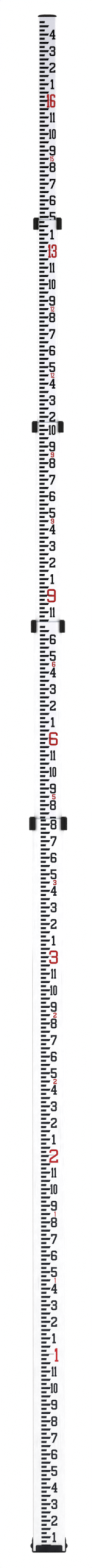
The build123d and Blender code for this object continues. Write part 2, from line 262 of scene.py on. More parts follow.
def use_group(tree, group, **values):
    """Place a shared effect, with this finish's own values, and give its outputs."""
    node = add_node(tree, "ShaderNodeGroup", node_tree=group)
    for name, value in values.items():
        node.inputs[name].default_value = value
    return node.outputs


def add_bump(tree, shader, height, strength, distance):
    """Raise the surface a little where the height is high."""
    bump = add_node(tree, "ShaderNodeBump")
    bump.inputs["Strength"].default_value = strength
    bump.inputs["Distance"].default_value = distance
    feed(tree, height, bump.inputs["Height"])
    feed(tree, bump.outputs["Normal"], shader.inputs["Normal"])


# %% [markdown]
# ## Front, inside and edge of a tube
#
# The flat front, the bare inside and the left edge of a tube do not look alike. The front
# could be a piece of its own, but on the real staff it is the same skin, so masks are worked
# out from the place of each point. Its distance from the middle line tells front from corner,
# and its distance beyond the flats tells the coated outside from the metal inside.

# %% Masks on a tube
COAT_DEPTH = 0.6 * MM  # deeper than this lies the bare inside
TINT_FROM = FLAT_HALF + 0.5 * MM  # from here inwards the front takes its own colour
TINT_FULL = FLAT_HALF - 0.7 * MM
# The thin line on the left edge is painted shade, where the side of the tube turns away from the
# light.
LINE_TOP = 915 * MM  # of the thin line on the left edge
LINE_FADE = 25 * MM
LINE_HALF = 1.2 * MM
LINE_SOFT = 0.4 * MM
LINE_TURN = radians(78)  # how far round the corner it runs


def front_mask(tree, place, n):
    """1 on the flat front of a tube, 0 on its corners, sides and back."""
    on_flat = ease(tree, calc(tree, "ABSOLUTE", place["X"]), TINT_FROM, TINT_FULL)
    facing = ease(tree, place["Y"], 0.0, tube[n][0].y)
    return calc(tree, "MULTIPLY", on_flat, facing)


def inside_mask(tree, n):
    """1 on the bare inside of a tube, 0 on its coated outside."""
    beyond = vector_calc(tree, "MULTIPLY", object_place(tree), (1.0, 1.0, 0.0))
    beyond = vector_calc(tree, "ABSOLUTE", beyond)
    beyond = vector_calc(tree, "SUBTRACT", beyond, (FLAT_HALF, SIDE_FLAT_HALF, 0.0))
    beyond = vector_calc(tree, "MAXIMUM", beyond, (0.0, 0.0, 0.0))
    return calc(tree, "LESS_THAN", vector_calc(tree, "LENGTH", beyond), corner[n] - COAT_DEPTH)


def edge_line_mask(tree, place, n):
    """1 on a thin line of painted shade up the left edge of a tube, as far as the line's top."""
    line_y = -SIDE_FLAT_HALF - corner[n] * cos(LINE_TURN)
    off_line = calc(tree, "ABSOLUTE", calc(tree, "SUBTRACT", place["Y"], line_y))
    line = ease(tree, off_line, LINE_HALF + LINE_SOFT, LINE_HALF - LINE_SOFT)
    on_left = calc(tree, "LESS_THAN", place["X"], -FLAT_HALF)
    low_down = ease(tree, place["Z"], LINE_TOP + LINE_FADE, LINE_TOP - LINE_FADE)
    return calc(tree, "MULTIPLY", calc(tree, "MULTIPLY", line, on_left), low_down)


# %% [markdown]
# ## The coated tubes
#
# Each tube is an aluminium extrusion with a satin white coat. The flat front that takes the print
# is a touch cooler than the rounded corners, its own tint, and a little darker, as painted shade
# set section by section. Sliding leaves grey scuffs, mostly on the sides and back. The upper end
# of the front is darkened as painted shade, most on the top section, where less light reaches. A
# thin grey line of painted shade runs up the left edge of the lowest section, where its side turns
# away from the light. One function makes all five coats, because only a few values change from one
# to the next.

# %% The tube coat
# The front of each section has a cool tint of its own, and is a little darker as painted shade, by
# a different amount on each section.
FRONT_TINT_AND_SHADE = {
    1: srgb(252, 252, 253),
    2: srgb(248, 247, 252),
    3: srgb(252, 252, 254),
    4: srgb(246, 246, 252),
    5: srgb(242, 242, 248),
}
# The upper end of each front is darkened towards its top as painted shade, strongest on the top
# section.
TOP_SHADE = {1: 0.0, 2: 0.05, 3: 0.15, 4: 0.12, 5: 0.8}  # how far the upper end has greyed
TOP_SHADE_GREY = srgb(216, 216, 226)
TOP_SHADE_LENGTH = 230 * MM
COAT_WHITE = srgb(253, 253, 254)
SCUFF_GREY = srgb(196, 196, 200)
CLOUDING = 0.06  # how far patches of the coat have greyed
SIDE_SCUFFS, FRONT_SCUFFS = 0.4, 0.1  # how far the scuffs show
COAT_ROUGH = (0.34, 0.42)
SCUFF_ROUGH = 0.15  # how much rougher a scuff is
BARE_METAL = srgb(205, 206, 208)
EDGE_SHADE_GREY = srgb(158, 153, 151)


def tube_coat(n):
    """The coat of one section, with its own corner radius and front colour."""
    material, tree, shader = new_finish(f"tube_coat_{n}", roughness=0.4, specular=0.25)
    place = place_parts(tree)
    front = front_mask(tree, place, n)
    inside = inside_mask(tree, n)
    grain = use_group(tree, grain_group, Scale=1300.0)
    scuffs = use_group(tree, scuff_group, Across=900.0)["Mask"]
    # The front takes its cool tint and its painted shade.
    color = mix_colors(tree, front, COAT_WHITE, FRONT_TINT_AND_SHADE[n])
    top = tube[n][1].z
    # Painted shade: the front darkens towards the upper end of the tube.
    top_shade = ease(tree, place["Z"], top - TOP_SHADE_LENGTH, top, 0.0, TOP_SHADE[n])
    color = mix_colors(tree, calc(tree, "MULTIPLY", top_shade, front), color, TOP_SHADE_GREY)
    tone = ease(tree, grain["Tone"], 0.0, 1.0, 0.0, CLOUDING)
    color = mix_colors(tree, tone, color, SCUFF_GREY)
    wear = ease(tree, front, 0.0, 1.0, SIDE_SCUFFS, FRONT_SCUFFS)
    color = mix_colors(tree, calc(tree, "MULTIPLY", scuffs, wear), color, SCUFF_GREY)
    if n == 1:
        # Painted shade: a thin grey line up the left edge of the lowest section.
        color = mix_colors(tree, edge_line_mask(tree, place, n), color, EDGE_SHADE_GREY)
    color = mix_colors(tree, inside, color, BARE_METAL)
    feed(tree, color, shader.inputs["Base Color"])
    feed(tree, inside, shader.inputs["Metallic"])
    rough = ease(tree, grain["Tone"], 0.0, 1.0, *COAT_ROUGH)
    rough = calc(tree, "ADD", rough, calc(tree, "MULTIPLY", scuffs, SCUFF_ROUGH))
    feed(tree, rough, shader.inputs["Roughness"])
    add_bump(tree, shader, grain["Height"], strength=0.06, distance=0.1 * MM)
    return material


def dress(node, material):
    """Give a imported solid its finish."""
    for slot in frame["nodes"][node].material_slots:
        slot.material = material


for n in SECTIONS:
    dress(f"section_{n}_tube", tube_coat(n))
print("coated tubes:", len(SECTIONS))

# %% [markdown]
# ## Moulded collars, cap and bushes
#
# The joint collars and the end cap are moulded in a warm black plastic with a fine spark texture.
# The top edges of the collars are paler, partly from wear and partly as a painted highlight, and
# the brown top of the cap is a painted highlight. One function makes every dark or plain moulding
# with its own colour, grain and the level of its paler edge, because only those values differ. The
# bush in each tube mouth is a pale blue-grey nylon, with a dark seam of painted shadow where its
# flange sits on the cut end of the tube, so it has a function of its own.

# %% Moulded plastics
ROUGH_SWING = 0.06  # how far a moulding's roughness goes up and down with its tone
BUSH_DARK = srgb(178, 188, 202)
BUSH_PALE = srgb(192, 200, 212)
# The dark seam at the foot of a bush's flange is painted shadow, in the gap on the cut end of the
# tube.
GAP_SHADE_GREY = srgb(128, 134, 146)
SEAM_FROM, SEAM_FULL = 0.7 * MM, 0.3 * MM  # above the cut end of the tube


def moulded(name, dark, light, wear_and_highlight, level, reach, roughness, specular, grain_scale, wear_and_highlight_share=0.4):
    """A moulded plastic that goes from dark to light with its grain, paler near one level from
    wear, and on the collars and cap from a painted highlight.
    """
    material, tree, shader = new_finish(name, roughness, specular)
    grain = use_group(tree, grain_group, Scale=grain_scale)
    # Near the given level the colour turns paler: wear, and on the collars and cap also a painted
    # highlight.
    rubbed = use_group(tree, wear_and_highlight_group, Level=level, Reach=reach, Grain=1600.0)["Mask"]
    color = mix_colors(tree, grain["Tone"], dark, light)
    color = mix_colors(tree, calc(tree, "MULTIPLY", rubbed, wear_and_highlight_share), color, wear_and_highlight)
    feed(tree, color, shader.inputs["Base Color"])
    rough = (roughness - ROUGH_SWING, roughness + ROUGH_SWING)
    feed(tree, ease(tree, grain["Tone"], 0.0, 1.0, *rough), shader.inputs["Roughness"])
    add_bump(tree, shader, grain["Height"], strength=0.25, distance=0.12 * MM)
    return material


def bush_nylon(n):
    """Pale nylon with a dark seam of painted shadow at the foot of the flange, in the gap on the
    cut end of the tube.
    """
    material, tree, shader = new_finish(f"bush_nylon_{n}", roughness=0.45, specular=0.3)
    grain = use_group(tree, grain_group, Scale=1500.0)
    above_cut = calc(tree, "SUBTRACT", place_parts(tree)["Z"], tube[n][1].z)
    # Painted shadow: the flange darkens just above the cut end of the tube.
    gap_shade = ease(tree, above_cut, SEAM_FROM, SEAM_FULL)
    color = mix_colors(tree, grain["Tone"], BUSH_DARK, BUSH_PALE)
    color = mix_colors(tree, gap_shade, color, GAP_SHADE_GREY)
    feed(tree, color, shader.inputs["Base Color"])
    add_bump(tree, shader, grain["Height"], strength=0.1, distance=0.1 * MM)
    return material


# %% [markdown]
# ## Dressing the mouldings
#
# A collar and a bush stand at each of the four joints, and a cap closes the top. Inside, white
# nylon blocks guide each section, another fills the foot, and a rubber pad on it takes the
# knock when the sections are let down. The hidden pieces get a plain finish of their own, as
# they come to light when the part is taken apart.

# %% Dress the mouldings
for n in rim:
    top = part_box(f"joint_collar_{n}")[1].z
    # The paler top edge of each collar is partly wear and partly a painted highlight.
    black = moulded(
        f"collar_nylon_{n}", dark=srgb(8, 8, 7), light=srgb(14, 13, 11), wear_and_highlight=srgb(50, 47, 43),
        level=top, reach=3 * MM, roughness=0.42, specular=0.075, grain_scale=2600.0,
    )
    dress(f"joint_collar_{n}", black)
    dress(f"mouth_bush_{n}", bush_nylon(n))
cap_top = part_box("top_cap")[1].z
# The brown top of the cap is a painted highlight, where the crown catches the light.
cap_black = moulded(
    "cap_plastic", dark=srgb(10, 8, 8), light=srgb(16, 13, 12), wear_and_highlight=srgb(68, 54, 39),
    level=cap_top, reach=1.6 * MM, roughness=0.42, specular=0.08, grain_scale=2200.0, wear_and_highlight_share=0.6,
)
dress("top_cap", cap_black)
guide_white = moulded(
    "guide_nylon", dark=srgb(214, 210, 196), light=srgb(226, 223, 211), wear_and_highlight=srgb(190, 186, 174),
    level=0.0, reach=1 * MM, roughness=0.5, specular=0.3, grain_scale=1500.0,
)
pad_black = moulded(
    "pad_rubber", dark=srgb(26, 26, 27), light=srgb(36, 36, 37), wear_and_highlight=srgb(60, 60, 60),
    level=0.0, reach=1 * MM, roughness=0.8, specular=0.1, grain_scale=900.0,
)
for n in rim:
    dress(f"guide_block_{n + 1}", guide_white)
dress("foot_block", guide_white)
dress("foot_pad", pad_black)
print("nylon finishes:", sum("nylon" in material.name for material in bpy.data.materials))

# %% [markdown]
# ## The painted foot
#
# The foot shoe and its rivets are steel under black enamel. The shoe stands on stones and
# pavements, so the enamel is chipped along the ground edge, where the steel shows and has
# browned. That needs a metal value that changes over the surface, so the chip mask feeds
# Metallic as well.

# %% Enamel
ENAMEL_DARK = srgb(18, 19, 24)
ENAMEL_PALE = srgb(27, 28, 34)
ENAMEL_ROUGH = (0.32, 0.46)
BROWNED_STEEL = srgb(166, 142, 120)


def enamel(name, level, reach):
    """Black enamel, chipped down to steel near one level."""
    material, tree, shader = new_finish(name, roughness=0.38, specular=0.14)
    grain = use_group(tree, grain_group, Scale=1500.0)
    chips = use_group(tree, wear_and_highlight_group, Level=level, Reach=reach, Grain=520.0)["Mask"]
    color = mix_colors(tree, grain["Tone"], ENAMEL_DARK, ENAMEL_PALE)
    color = mix_colors(tree, chips, color, BROWNED_STEEL)
    feed(tree, color, shader.inputs["Base Color"])
    feed(tree, chips, shader.inputs["Metallic"])
    rough = ease(tree, grain["Tone"], 0.0, 1.0, *ENAMEL_ROUGH)
    feed(tree, rough, shader.inputs["Roughness"])
    height = calc(tree, "SUBTRACT", grain["Height"], chips)
    add_bump(tree, shader, height, strength=0.2, distance=0.08 * MM)
    return material


shoe_black = enamel("shoe_paint", level=0.0, reach=0.7 * MM)
dress("foot_shoe", shoe_black)
dress("foot_rivets", shoe_black)

# %% [markdown]
# ## Bright steel
#
# The screws, pins, springs and lock buttons are plain steel. Wire and bar are pulled through
# a die, which leaves fine lines along them, so the scuffs of the tubes serve again here, only
# finer. They are bright in the dull metal, and a little rougher.

# %% Steel
STEEL = srgb(186, 187, 190)
STEEL_DARK = srgb(160, 161, 165)
STEEL_LINE = srgb(214, 214, 216)
STEEL_ROUGH = (0.26, 0.42)
LINE_SHARE = 0.5  # how far a drawn line brightens


def drawn_steel(name):
    """Bright steel with a fine drawn line."""
    material, tree, shader = new_finish(name, roughness=0.3, specular=0.5, metallic=1.0)
    lines = use_group(tree, scuff_group, Across=2600.0)["Mask"]
    grain = use_group(tree, grain_group, Scale=1800.0)
    color = mix_colors(tree, grain["Tone"], STEEL, STEEL_DARK)
    color = mix_colors(tree, calc(tree, "MULTIPLY", lines, LINE_SHARE), color, STEEL_LINE)
    feed(tree, color, shader.inputs["Base Color"])
    feed(tree, ease(tree, lines, 0.0, 1.0, *STEEL_ROUGH), shader.inputs["Roughness"])
    add_bump(tree, shader, lines, strength=0.1, distance=0.05 * MM)
    return material


bright = drawn_steel("steel")
for n in rim:
    dress(f"collar_screws_{n}", bright)
    dress(f"guide_pins_{n + 1}", bright)
    dress(f"lock_button_{n + 1}", bright)
print("steel finish:", bright.name)

# %% [markdown]
# ## Putting new things in the scene
#
# New pieces are modelled in a bmesh, a mesh that is open for work and holds no name or place.
# It has to be turned into a mesh, and the mesh hung in the scene as an object, before anyone
# can see it. Both moves come up again and again below, for springs, print, lamps and camera,
# so each is written once.

# %% Scene helpers
def to_mesh(bm, name):
    """Turn a finished bmesh into a mesh."""
    mesh = bpy.data.meshes.new(name)
    bm.to_mesh(mesh)
    bm.free()
    return mesh


def add_object(name, data):
    """Hang a mesh, a lamp or a camera in the scene."""
    made = bpy.data.objects.new(name, data)
    bpy.context.scene.collection.objects.link(made)
    return made


# %% [markdown]
# ## Bow springs
#
# A bow spring stands behind each lock button, with its two feet on the guide block and its crown
# against the button. The imported spring is rigid, so a pressed button would cut into it. Each one
# is replaced by a copy of its mesh, and the imported one is hidden. The imported mesh is loose
# triangles, so the copy's doubles are merged first.

# %% Bow springs
SPRING_WELD = 0.001 * MM  # points nearer than this are one


def bending_spring(n):
    """Put a copy of a packed bow spring in its place, and hide the imported one."""
    node = f"lock_spring_{n}"
    bm = bmesh.new()
    bm.from_mesh(frame["nodes"][node].data)
    bmesh.ops.remove_doubles(bm, verts=bm.verts, dist=SPRING_WELD)
    mesh = to_mesh(bm, f"bow_spring_{n}")
    mesh.materials.append(bright)
    spring = add_object(mesh.name, mesh)
    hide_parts(node)
    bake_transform(spring)
    print(spring.name, "faces:", len(mesh.polygons))


for n in rim:
    bending_spring(n + 1)

# %% [markdown]
# ## The two printing inks
#
# The scale is screen printed, with black for the bars and inches and red for the feet. Ink
# could be painted into the tube's own material, but then every digit would need a mask of
# its own. Thin raised pieces are simpler, stay sharp however close the camera comes, and
# print well as solids. The ink is not quite even, rubs thin in specks, and has faded a little
# towards the foot, which gets the most sun and wear.

# %% Inks
INK_RUB = 0.05  # how far a rubbed speck pales
INK_ROUGH = (0.4, 0.52)


def ink(name, thin, thick, faded, rubbed, fresh_above):
    """A printing ink whose density wanders, faded towards the foot, with pale rubbed specks."""
    material, tree, shader = new_finish(name, roughness=0.45, specular=0.04)
    grain = use_group(tree, grain_group, Scale=900.0)
    scuffs = use_group(tree, scuff_group, Across=1500.0)["Mask"]
    color = mix_colors(tree, grain["Tone"], thick, thin)
    fading = ease(tree, place_parts(tree)["Z"], fresh_above, 0.0)
    color = mix_colors(tree, fading, color, faded)
    color = mix_colors(tree, calc(tree, "MULTIPLY", scuffs, INK_RUB), color, rubbed)
    feed(tree, color, shader.inputs["Base Color"])
    rough = ease(tree, grain["Height"], *NOISE_LIMITS, *INK_ROUGH)
    feed(tree, rough, shader.inputs["Roughness"])
    add_bump(tree, shader, grain["Height"], strength=0.05, distance=0.05 * MM)
    return material


black_ink = ink(
    "scale_black", thin=srgb(10, 10, 13), thick=srgb(3, 3, 5), faded=srgb(39, 41, 49),
    rubbed=srgb(150, 150, 156), fresh_above=rim[4],
)
red_ink = ink(
    "scale_red", thin=srgb(180, 37, 38), thick=srgb(166, 29, 31), faded=srgb(203, 47, 54),
    rubbed=srgb(224, 150, 152), fresh_above=rim[1],
)
print("inks:", black_ink.name, red_ink.name)

# %% [markdown]
# ## A pen that draws strokes
#
# Staff numerals are drawn with one even stroke, with squared shapes and small rounded bends,
# and no ready font has them. So the pen is modelled: a short edge, as wide as the stroke, is
# extruded along each straight run and spun round each bend. At a sharp corner both ends of
# the edge slide along the run until they meet the mitre, and at the end of a stroke they
# slide to a square or level cut. A stroke stops where it meets another one, and the other
# has a point there, so that they share an edge and the ink has no wall between them.

# %% The pen
OUT = Vector((0, -1, 0))  # straight out of the printed face
LEVEL = Vector((0, 0, 1))  # normal of a level cut
BEND_STEP = pi / 10  # turn of one step round a bend


def of_kind(geometry, kind):
    """Only the vertices, or only the edges, of what an operator made."""
    return [part for part in geometry if isinstance(part, kind)]


def run_to(bm, edge, along, point, cut):
    """Extrude the pen's edge along a line, until both ends lie on the cut through a point."""
    made = bmesh.ops.extrude_edge_only(bm, edges=[edge])["geom"]
    ends = of_kind(made, bmesh.types.BMVert)
    for end in ends:
        end.co += along * ((point - end.co).dot(cut) / along.dot(cut))
    return next(e for e in of_kind(made, bmesh.types.BMEdge) if set(e.verts) == set(ends))


def round_bend(bm, edge, along, after, bend, radius):
    """Run up to a bend and spin the pen's edge round it."""
    turn = along.angle(after)
    begin = bend - along * radius * tan(turn / 2)
    inward = (after - along * along.dot(after)).normalized()
    edge = run_to(bm, edge, along, begin, along)
    spun = bmesh.ops.spin(
        bm, geom=[edge], cent=begin + inward * radius, axis=along.cross(after).normalized(),
        angle=turn, steps=max(2, round(turn / BEND_STEP)), use_merge=False,
    )
    return of_kind(spun["geom_last"], bmesh.types.BMEdge)[0]


def draw_stroke(bm, width, points, closed=False, cut=None):
    """Draw one stroke through points of x, z and a bend radius, 0 for a sharp corner."""
    spots = [Vector((x, 0, z)) for x, z, radius in points]
    radii = [radius for x, z, radius in points]
    if closed:
        start = (spots[-1] + spots[0]) / 2
        spots = [start, *spots, start]
        radii = [0, *radii, 0]
    along = (spots[1] - spots[0]).normalized()
    half = along.cross(OUT) * width / 2
    edge = bm.edges.new([bm.verts.new(spots[0] + half), bm.verts.new(spots[0] - half)])
    for bend, radius, following in zip(spots[1:-1], radii[1:-1], spots[2:]):
        after = (following - bend).normalized()
        if radius:
            edge = round_bend(bm, edge, along, after, bend, radius)
        else:
            edge = run_to(bm, edge, along, bend, along + after)
        along = after
    run_to(bm, edge, along, spots[-1], cut or along)


# %% [markdown]
# ## Shapes that are cut, not drawn
#
# The 3 and the 8 are nipped at the waist, and the slanting stroke of a 4 runs into its bar, so
# pen strokes would overlap there. They are cut out as flat outlines instead, and chosen
# corners are rounded with a bevel of the vertices. The right half of a 3 is also the right
# half of an 8, so it is written once, and the 8 is that half and its mirror image.

# %% Outlines
WAIST = 0.52  # how high up a 3 or 8 its waist lies
NIP = 0.42  # depth of the nip there, in strokes


def draw_outline(bm, corners, segments=4):
    """Draw one closed face through corners of x, z and a rounding radius, 0 for sharp."""
    spots = [bm.verts.new((x, 0, z)) for x, z, radius in corners]
    bm.faces.new(spots)
    for size in sorted({radius for x, z, radius in corners if radius}):
        chosen = [spot for spot, (x, z, radius) in zip(spots, corners) if radius == size]
        bmesh.ops.bevel(
            bm, geom=chosen, offset=size, offset_type="OFFSET", segments=segments, profile=0.5,
            affect="VERTICES", material=-1,
        )


def right_half(w, h, s, outer, inner):
    """The right half of a 3 or 8, as an outline."""
    middle, waist, nip = w / 2, WAIST * h, NIP * s
    return [
        (middle, h, 0), (middle, h - s, 0), (w - s, h - s, inner),
        (w - s, waist + s / 2, inner), (middle, waist + s / 2, 0),
        (middle, waist - s / 2, 0), (w - s, waist - s / 2, inner),
        (w - s, s, inner), (middle, s, 0), (middle, 0, 0), (w, 0, outer),
        (w, waist - nip, 0), (w - nip, waist, 0), (w, waist + nip, 0), (w, h, outer),
    ]


def left_of_three(w, h, s, outer, inner):
    """The two arms and the middle stub of a 3, as outlines."""
    middle, waist = w / 2, WAIST * h
    arm, stub = 0.32 * h, 0.26 * w
    lower = [
        (middle, 0, 0), (middle, s, 0), (s, s, inner), (s, arm, 0), (0, arm, 0), (0, 0, outer),
    ]
    upper = [(x, h - z, radius) for x, z, radius in lower]
    low, high = waist - s / 2, waist + s / 2
    return lower, upper, [(middle, low, 0), (middle, high, 0), (stub, high, 0), (stub, low, 0)]


def left_of_four(w, h, bar, thick, slant):
    """The slanting stroke and the bar of a 4, left of its stem, as an outline."""
    under, over, heel = bar - thick / 2, bar + thick / 2, bar + 0.1 * thick
    blunt = 0.23 * thick
    slope = (h - heel) / w
    drop = slant * sqrt(1 + slope**2)
    window = (over + drop - heel) / slope
    return [
        (0, under, blunt), (0, heel, blunt), (w, h, 0), (w, h - drop, 0), (window, over, 0),
        (w, over, 0), (w, under, 0),
    ]


# %% [markdown]
# ## Digits of one stroke
#
# A 0, 2, 5, 6, 7 or 9 is one path of the pen, inside a box of given width and height. The 2
# turns up at its right end and the 7 has a small hook. Writing the path with the box and the
# stroke as values means that the narrow digits of 10 and 11 and the tall red feet keep an even
# stroke, which a stretched copy would lose. A 9 has the path of a 6, and is turned round later.

# %% Paths of the pen
def bend_radius(w, s):
    """The radius of a digit's bends, along the middle of the stroke."""
    return max(0.22 * (w - s), 0.53 * s)


def pen_path(digit, w, h, s):
    """The points of a digit that is one stroke, from its lower left corner, in millimetres."""
    left, right, low, high = s / 2, w - s / 2, s / 2, h - s / 2
    soft, tight = bend_radius(w, s), 0.6 * s
    hook = high - 0.19 * h
    if digit == 0:
        return [(left, low, soft), (left, high, soft), (right, high, soft), (right, low, soft)]
    if digit == 2:
        bend, elbow, lip = 0.62 * h, max(0.28 * h, 1.34 * s), low + 0.18 * h
        return [
            (left, hook, 0), (left, high, soft), (right, high, soft), (right, bend, tight),
            (left, elbow, tight), (left, low, 0), (right, low, 0), (right, lip, 0),
        ]
    if digit == 5:
        shelf, arm, tip = 0.545 * h, low + 0.21 * h, w - 0.08 * s
        return [
            (tip, high, 0), (left, high, 0), (left, shelf, 0), (right, shelf, soft),
            (right, low, soft), (left, low, soft), (left, arm, 0),
        ]
    if digit == 7:
        shoulder, toe = min(0.77 * h, h - 1.25 * s), 0.29 * w
        return [
            (left, hook, 0), (left, high, 0), (right, high, 0), (right, shoulder, 0), (toe, 0, 0),
        ]
    shelf, arm = 0.5 * h, high - 0.2 * h
    return [
        (right, arm, 0), (right, high, soft), (left, high, soft), (left, shelf + s / 2, 0),
        (left, shelf - s / 2, 0), (left, low, soft), (right, low, soft), (right, shelf, soft),
        (s, shelf, 0),
    ]


# %% [markdown]
# ## Digits of several parts
#
# The 1, 3, 4 and 8 are put together from strokes and outlines that meet along whole edges. The
# 1 has a flag and a foot, except in the smallest size, which has no room for a foot. The foot
# of a 1 or 4 has a point at each side of the stem, so that the two share that edge.

# %% Digits
def draw_one(bm, w, h, s, foot):
    """Draw a 1 with its flag, and with a foot if asked."""
    slab = s if foot else 0.0
    stem = w / 2
    edge_x = stem - s / 2
    tip = -0.06 * s if foot else edge_x - 0.6 * s
    notch, under, over, blunt = 0.745 * h, 0.71 * h, 0.9 * h, 0.2 * s
    flag = [(edge_x, h, 0), (edge_x, notch, 0), (tip, under, blunt), (tip, over, blunt)]
    draw_outline(bm, flag)
    draw_stroke(bm, s, [(stem, slab, 0), (stem, notch, 0), (stem, h, 0)])
    if foot:
        draw_stroke(bm, slab, [(x, slab / 2, 0) for x in (0, edge_x, edge_x + s, w)])


def draw_three_or_eight(bm, digit, w, h, s):
    """Draw the right half of both, then the arms of a 3 or the mirrored half of an 8."""
    soft = bend_radius(w, s)
    rounding = (soft + s / 2, max(soft - s / 2, 0.1 * s))
    half = right_half(w, h, s, *rounding)
    draw_outline(bm, half)
    if digit == 8:
        draw_outline(bm, [(w - x, z, radius) for x, z, radius in half])
    else:
        for part in left_of_three(w, h, s, *rounding):
            draw_outline(bm, part)


def draw_four(bm, w, h, s):
    """Draw a 4 with a slab under its stem."""
    bar, stem, slab_left = 0.37 * h, 0.71 * w, 0.42 * w
    thick, slab, slant = 0.9 * s, 0.95 * s, 0.82 * s
    edge_x = stem - s / 2
    slope = left_of_four(edge_x, h, bar, thick, slant)
    draw_outline(bm, slope)
    meets = sorted(z for x, z, radius in slope if x == edge_x)
    draw_stroke(bm, s, [(stem, z, 0) for z in (slab, *meets)])
    draw_stroke(bm, thick, [(edge_x + s, bar, 0), (w, bar, 0)])
    draw_stroke(bm, slab, [(x, slab / 2, 0) for x in (slab_left, edge_x, edge_x + s, w)])


def draw_digit(bm, digit, w, h, s, foot):
    """Draw a digit with its lower left corner at the origin, in millimetres."""
    if digit == 1:
        draw_one(bm, w, h, s, foot)
    elif digit in (3, 8):
        draw_three_or_eight(bm, digit, w, h, s)
    elif digit == 4:
        draw_four(bm, w, h, s)
    else:
        cut = LEVEL if digit == 7 else None
        draw_stroke(bm, s, pen_path(digit, w, h, s), closed=digit == 0, cut=cut)


# %% [markdown]
# ## From strokes to printed shapes
#
# A flat drawing becomes a print when its faces are extruded by the thickness of the ink. A
# shape is built once, kept as a mesh, and laid down wherever the scale needs it. A 9 is the
# 6 turned half round. The ink starts a hair under the coat, so that no gap can show, and
# the black lies over the red, as it was printed last.

# %% Printed shapes
INK_ROOT = 0.02 * MM
INK_RISE = {"black": 0.045 * MM, "red": 0.025 * MM}
INK_WELD = 0.002 * MM
shapes = {}


def raise_ink(bm, ink_name):
    """Give a flat drawing the thickness of its ink."""
    bmesh.ops.remove_doubles(bm, verts=bm.verts, dist=INK_WELD)
    made = bmesh.ops.extrude_face_region(bm, geom=bm.faces[:])["geom"]
    bmesh.ops.translate(bm, verts=bm.verts, vec=-OUT * INK_ROOT)
    top = of_kind(made, bmesh.types.BMVert)
    bmesh.ops.translate(bm, verts=top, vec=OUT * (INK_ROOT + INK_RISE[ink_name]))
    bmesh.ops.recalc_face_normals(bm, faces=bm.faces)


def keep_shape(bm, key, ink_name):
    """Scale a drawing to metres, give it thickness, and keep it to be laid down many times."""
    bmesh.ops.scale(bm, verts=bm.verts, vec=(MM, MM, MM))
    raise_ink(bm, ink_name)
    shapes[key] = to_mesh(bm, key)
    return shapes[key]


def digit_shape(digit, w, h, s, ink_name, foot):
    """A printed digit centred on the origin, built the first time that it is asked for."""
    key = f"{ink_name}_{digit}_{w:.2f}_{h:.2f}_{s:.2f}_{foot}"
    if key in shapes:
        return shapes[key]
    bm = bmesh.new()
    draw_digit(bm, digit, w, h, s, foot)
    bmesh.ops.translate(bm, verts=bm.verts, vec=(-w / 2, 0, -h / 2))
    if digit == 9:
        bmesh.ops.scale(bm, verts=bm.verts, vec=(-1, 1, -1))
    return keep_shape(bm, key, ink_name)


# %% [markdown]
# ## The bars
#
# Bars mark the quarter inches. All start at the left edge of the front, and they end with a
# slight slant, at a length that tells an inch from a quarter. They could be plain boxes, but
# printed corners are never quite sharp, so each is an outline with softened corners. The bar
# at a foot is shorter, and a thin leader runs on from its top edge.

# %% Bars
BAR_LEFT = -12.2  # these are in millimetres, from the middle of the print
BAR_TALL = 3.55
BAR_SOFT = 0.35  # rounding of a bar's corners
LEADER_END = 7.4
LEADER_TALL = 0.65


def bar_shape(key, right_top, right_foot, leader=False):
    """A printed bar whose top edge lies on the origin's level, with a thin leader if asked."""
    corners = [(BAR_LEFT, 0, BAR_SOFT), (BAR_LEFT, -BAR_TALL, BAR_SOFT)]
    corners.append((right_foot, -BAR_TALL, BAR_SOFT))
    if leader:
        meet = right_top + (right_foot - right_top) * LEADER_TALL / BAR_TALL
        corners += [(meet, -LEADER_TALL, 0), (LEADER_END, -LEADER_TALL, 0), (LEADER_END, 0, 0)]
    else:
        corners.append((right_top, 0, BAR_SOFT))
    bm = bmesh.new()
    draw_outline(bm, corners, segments=2)
    return keep_shape(bm, key, "black")


long_bar = bar_shape("long_bar", right_top=2.65, right_foot=1.05)
short_bar = bar_shape("short_bar", right_top=-3.7, right_foot=-4.2)
foot_bar = bar_shape("foot_bar", right_top=0.85, right_foot=-0.75, leader=True)
for bar in (long_bar, short_bar, foot_bar):
    print(bar.name, "faces:", len(bar.polygons))

# %% [markdown]
# ## Numbers in three sizes
#
# Black inches, tall red feet, and small red feet that repeat between the inches so that a
# surveyor who sees only a little of the staff still knows the foot. A number of two digits
# is set narrower, so that it takes about the same room as one. The sizes, in millimetres,
# were measured on the photograph against the inch marks.

# %% Number styles
INCHES = dict(ink="black", tall=15.5, stroke=2.7, wide=9.35, one=5.6, one_stroke=2.6,
              pair_stroke=2.38, pair_one=3.5, pair_wide=6.1, gap=0.75)
FEET = dict(ink="red", tall=20.8, stroke=3.1, wide=13.6, one=5.6, one_stroke=2.75,
            pair_stroke=2.85, pair_one=4.3, pair_wide=8.4, gap=0.5)
REPEATS = dict(ink="red", tall=8.1, stroke=1.75, wide=5.4, one=2.0, one_stroke=1.3,
               pair_stroke=1.35, pair_one=1.7, pair_wide=3.3, gap=0.4)


def lay(bm, mesh, x, z):
    """Lay a printed shape down at a place on the front."""
    known = len(bm.verts)
    bm.from_mesh(mesh)
    bm.verts.ensure_lookup_table()
    bmesh.ops.translate(bm, verts=bm.verts[known:], vec=(x, 0, z))


